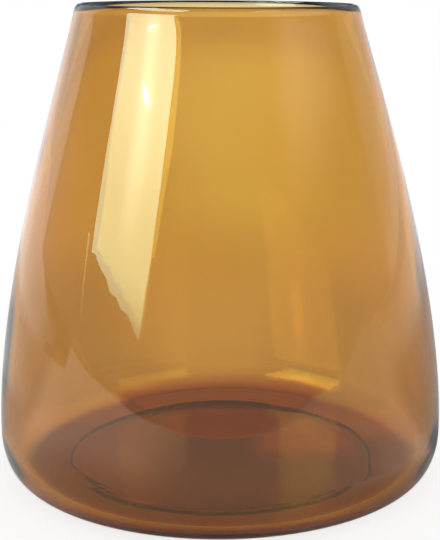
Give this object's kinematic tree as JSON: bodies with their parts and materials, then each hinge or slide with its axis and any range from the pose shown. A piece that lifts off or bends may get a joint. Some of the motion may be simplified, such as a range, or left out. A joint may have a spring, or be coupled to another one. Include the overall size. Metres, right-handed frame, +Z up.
{
  "type": "glass vase",
  "caption": "Blown amber glass vase: wide rounded heel and belly, wall drawn in to a narrower round-lipped mouth, even base with a flat standing ring. Holds water and cut flowers.",
  "frame": {"origin": "middle of the plane that the standing ring rests on", "axes": "+Z up along the vase's own axis, from the base to the mouth; +X and +Y are free, because the vase is round"},
  "size_m": [0.16, 0.16, 0.1672],
  "materials": {
    "amber_glass": "clear amber glass, coloured all through, fire-polished inside and out"
  },
  "bodies": {
    "root": {"vase_body": "amber_glass"}
  },
  "joints": []
}
